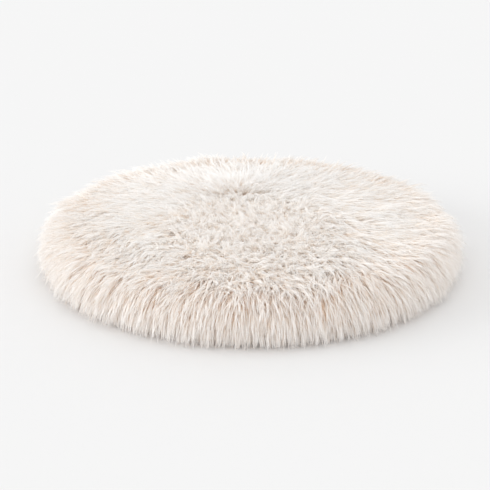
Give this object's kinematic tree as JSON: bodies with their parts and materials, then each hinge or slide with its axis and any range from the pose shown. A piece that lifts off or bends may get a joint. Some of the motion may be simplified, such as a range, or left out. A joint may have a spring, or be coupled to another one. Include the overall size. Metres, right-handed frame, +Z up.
{
  "type": "pet cushion bed",
  "caption": "Round flat pet cushion with a long-pile plush cover, a zipped underside and a separate fibre-filled inner cushion.",
  "frame": {"origin": "centre of the flat underside, on the surface that the cushion rests on", "axes": "+Z up through the pile, -Y to the front, +X to the right; the zip runs along X behind the centre"},
  "size_m": [0.4998, 0.4998, 0.068],
  "materials": {
    "fur": "matte",
    "fur_backing": "matte",
    "bottom_fabric": "matte",
    "thread": "matte",
    "zip_tape": "matte",
    "zip_coil": "satin",
    "zip_metal": "satin",
    "liner": "matte",
    "fill": "matte"
  },
  "bodies": {
    "cushion": {"fur_pile": "fur", "fur_backing": "fur_backing", "bottom_panel_front": "bottom_fabric", "bottom_panel_rear": "bottom_fabric", "rim_seam_thread": "thread", "zip_tape_front": "zip_tape", "zip_tape_rear": "zip_tape", "zip_coil_front": "zip_coil", "zip_coil_rear": "zip_coil", "zip_stop_closed_end": "zip_metal", "zip_stop_open_end": "zip_metal", "zip_bar_tacks": "thread", "zip_stitching_front": "thread", "zip_stitching_rear": "thread", "liner_top": "liner", "liner_bottom": "liner", "liner_seam_thread": "thread", "fibre_fill": "fill"},
    "slider": {"zip_slider": "zip_metal"},
    "pull_tab": {"zip_pull_tab": "zip_metal"}
  },
  "joints": [
    {"name": "zip_slide", "type": "slide", "parent": "cushion", "child": "slider", "axis": [-1, 0, 0], "range_m": [0, 0.3]},
    {"name": "pull_tab_swing", "type": "hinge", "parent": "slider", "child": "pull_tab", "pos_m": [0.15, 0.06, 0.0027], "axis": [0, 1, 0], "range_deg": [0, 180]}
  ]
}
